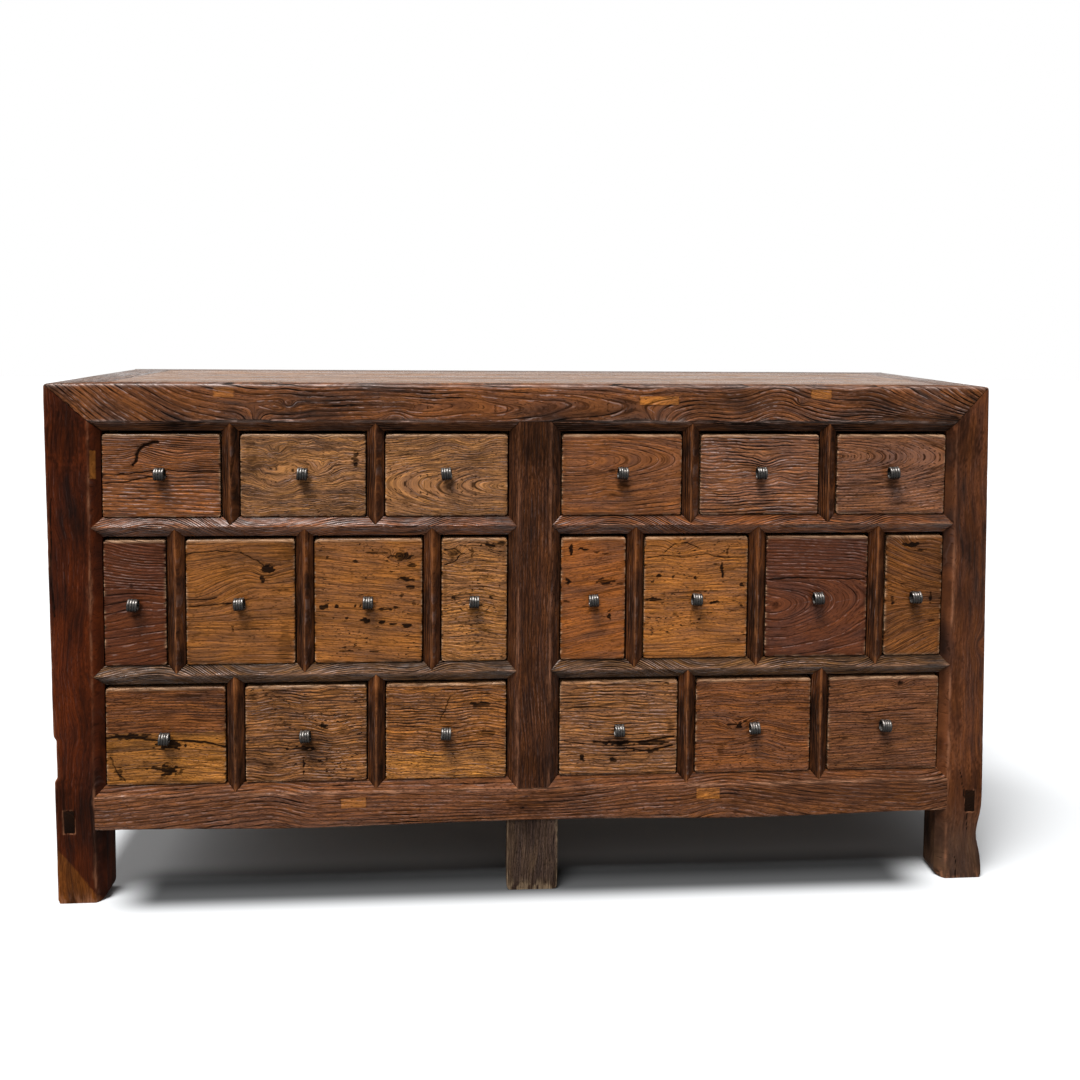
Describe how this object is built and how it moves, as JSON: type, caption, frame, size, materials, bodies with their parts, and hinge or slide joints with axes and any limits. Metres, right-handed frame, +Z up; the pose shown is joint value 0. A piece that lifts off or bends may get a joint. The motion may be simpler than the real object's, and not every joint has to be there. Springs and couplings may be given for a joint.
{
  "type": "apothecary chest",
  "caption": "Wide old elm apothecary chest: bevelled frame-and-panel carcass on short feet, with inset drawers in rows that slide out on rolled iron pulls",
  "frame": {"origin": "on the floor, under the middle of the chest with its pulls", "axes": "+X to the right along the front, +Y from the front to the back, +Z up"},
  "size_m": [1.64, 0.504, 0.895],
  "materials": {
    "frame_wood": "satin",
    "red_post_wood": "satin",
    "dark_wood": "satin",
    "weathered_wood": "satin",
    "inner_wood": "satin",
    "top_wood": "satin",
    "mid_brown_wood": "satin",
    "red_brown_wood": "satin",
    "tan_wood": "satin",
    "honey_wood": "satin",
    "iron": "satin"
  },
  "bodies": {
    "carcass": {"front_post_left": "red_post_wood", "front_post_right": "frame_wood", "rear_posts": "frame_wood", "centre_post": "dark_wood", "centre_feet": "weathered_wood", "top_front_rail": "frame_wood", "top_back_rail": "frame_wood", "top_end_rails": "frame_wood", "top_boards": "top_wood", "top_battens": "inner_wood", "upper_rails": "frame_wood", "lower_rails": "frame_wood", "bottom_rail": "frame_wood", "drawer_dividers": "frame_wood", "side_rails": "frame_wood", "side_panels": "mid_brown_wood", "back_frame": "inner_wood", "back_panels": "inner_wood", "runner_boards": "inner_wood", "drawer_guides": "inner_wood"},
    "top_drawer_1": {"drawer_top_1": "red_brown_wood", "pull_top_1": "iron"},
    "top_drawer_2": {"drawer_top_2": "tan_wood", "pull_top_2": "iron"},
    "top_drawer_3": {"drawer_top_3": "tan_wood", "pull_top_3": "iron"},
    "top_drawer_4": {"drawer_top_4": "mid_brown_wood", "pull_top_4": "iron"},
    "top_drawer_5": {"drawer_top_5": "mid_brown_wood", "pull_top_5": "iron"},
    "top_drawer_6": {"drawer_top_6": "mid_brown_wood", "pull_top_6": "iron"},
    "middle_drawer_1": {"drawer_middle_1": "red_brown_wood", "pull_middle_1": "iron"},
    "middle_drawer_2": {"drawer_middle_2": "honey_wood", "pull_middle_2": "iron"},
    "middle_drawer_3": {"drawer_middle_3": "honey_wood", "pull_middle_3": "iron"},
    "middle_drawer_4": {"drawer_middle_4": "tan_wood", "pull_middle_4": "iron"},
    "middle_drawer_5": {"drawer_middle_5": "honey_wood", "pull_middle_5": "iron"},
    "middle_drawer_6": {"drawer_middle_6": "honey_wood", "pull_middle_6": "iron"},
    "middle_drawer_7": {"drawer_middle_7": "red_brown_wood", "pull_middle_7": "iron"},
    "middle_drawer_8": {"drawer_middle_8": "honey_wood", "pull_middle_8": "iron"},
    "bottom_drawer_1": {"drawer_bottom_1": "mid_brown_wood", "pull_bottom_1": "iron"},
    "bottom_drawer_2": {"drawer_bottom_2": "tan_wood", "pull_bottom_2": "iron"},
    "bottom_drawer_3": {"drawer_bottom_3": "honey_wood", "pull_bottom_3": "iron"},
    "bottom_drawer_4": {"drawer_bottom_4": "tan_wood", "pull_bottom_4": "iron"},
    "bottom_drawer_5": {"drawer_bottom_5": "red_brown_wood", "pull_bottom_5": "iron"},
    "bottom_drawer_6": {"drawer_bottom_6": "mid_brown_wood", "pull_bottom_6": "iron"}
  },
  "joints": [
    {"name": "top_drawer_1_slide", "type": "slide", "parent": "carcass", "child": "top_drawer_1", "axis": [0, -1, 0], "range_m": [0, 0.32]},
    {"name": "top_drawer_2_slide", "type": "slide", "parent": "carcass", "child": "top_drawer_2", "axis": [0, -1, 0], "range_m": [0, 0.32]},
    {"name": "top_drawer_3_slide", "type": "slide", "parent": "carcass", "child": "top_drawer_3", "axis": [0, -1, 0], "range_m": [0, 0.32]},
    {"name": "top_drawer_4_slide", "type": "slide", "parent": "carcass", "child": "top_drawer_4", "axis": [0, -1, 0], "range_m": [0, 0.32]},
    {"name": "top_drawer_5_slide", "type": "slide", "parent": "carcass", "child": "top_drawer_5", "axis": [0, -1, 0], "range_m": [0, 0.32]},
    {"name": "top_drawer_6_slide", "type": "slide", "parent": "carcass", "child": "top_drawer_6", "axis": [0, -1, 0], "range_m": [0, 0.32]},
    {"name": "middle_drawer_1_slide", "type": "slide", "parent": "carcass", "child": "middle_drawer_1", "axis": [0, -1, 0], "range_m": [0, 0.32]},
    {"name": "middle_drawer_2_slide", "type": "slide", "parent": "carcass", "child": "middle_drawer_2", "axis": [0, -1, 0], "range_m": [0, 0.32]},
    {"name": "middle_drawer_3_slide", "type": "slide", "parent": "carcass", "child": "middle_drawer_3", "axis": [0, -1, 0], "range_m": [0, 0.32]},
    {"name": "middle_drawer_4_slide", "type": "slide", "parent": "carcass", "child": "middle_drawer_4", "axis": [0, -1, 0], "range_m": [0, 0.32]},
    {"name": "middle_drawer_5_slide", "type": "slide", "parent": "carcass", "child": "middle_drawer_5", "axis": [0, -1, 0], "range_m": [0, 0.32]},
    {"name": "middle_drawer_6_slide", "type": "slide", "parent": "carcass", "child": "middle_drawer_6", "axis": [0, -1, 0], "range_m": [0, 0.32]},
    {"name": "middle_drawer_7_slide", "type": "slide", "parent": "carcass", "child": "middle_drawer_7", "axis": [0, -1, 0], "range_m": [0, 0.32]},
    {"name": "middle_drawer_8_slide", "type": "slide", "parent": "carcass", "child": "middle_drawer_8", "axis": [0, -1, 0], "range_m": [0, 0.32]},
    {"name": "bottom_drawer_1_slide", "type": "slide", "parent": "carcass", "child": "bottom_drawer_1", "axis": [0, -1, 0], "range_m": [0, 0.32]},
    {"name": "bottom_drawer_2_slide", "type": "slide", "parent": "carcass", "child": "bottom_drawer_2", "axis": [0, -1, 0], "range_m": [0, 0.32]},
    {"name": "bottom_drawer_3_slide", "type": "slide", "parent": "carcass", "child": "bottom_drawer_3", "axis": [0, -1, 0], "range_m": [0, 0.32]},
    {"name": "bottom_drawer_4_slide", "type": "slide", "parent": "carcass", "child": "bottom_drawer_4", "axis": [0, -1, 0], "range_m": [0, 0.32]},
    {"name": "bottom_drawer_5_slide", "type": "slide", "parent": "carcass", "child": "bottom_drawer_5", "axis": [0, -1, 0], "range_m": [0, 0.32]},
    {"name": "bottom_drawer_6_slide", "type": "slide", "parent": "carcass", "child": "bottom_drawer_6", "axis": [0, -1, 0], "range_m": [0, 0.32]}
  ]
}
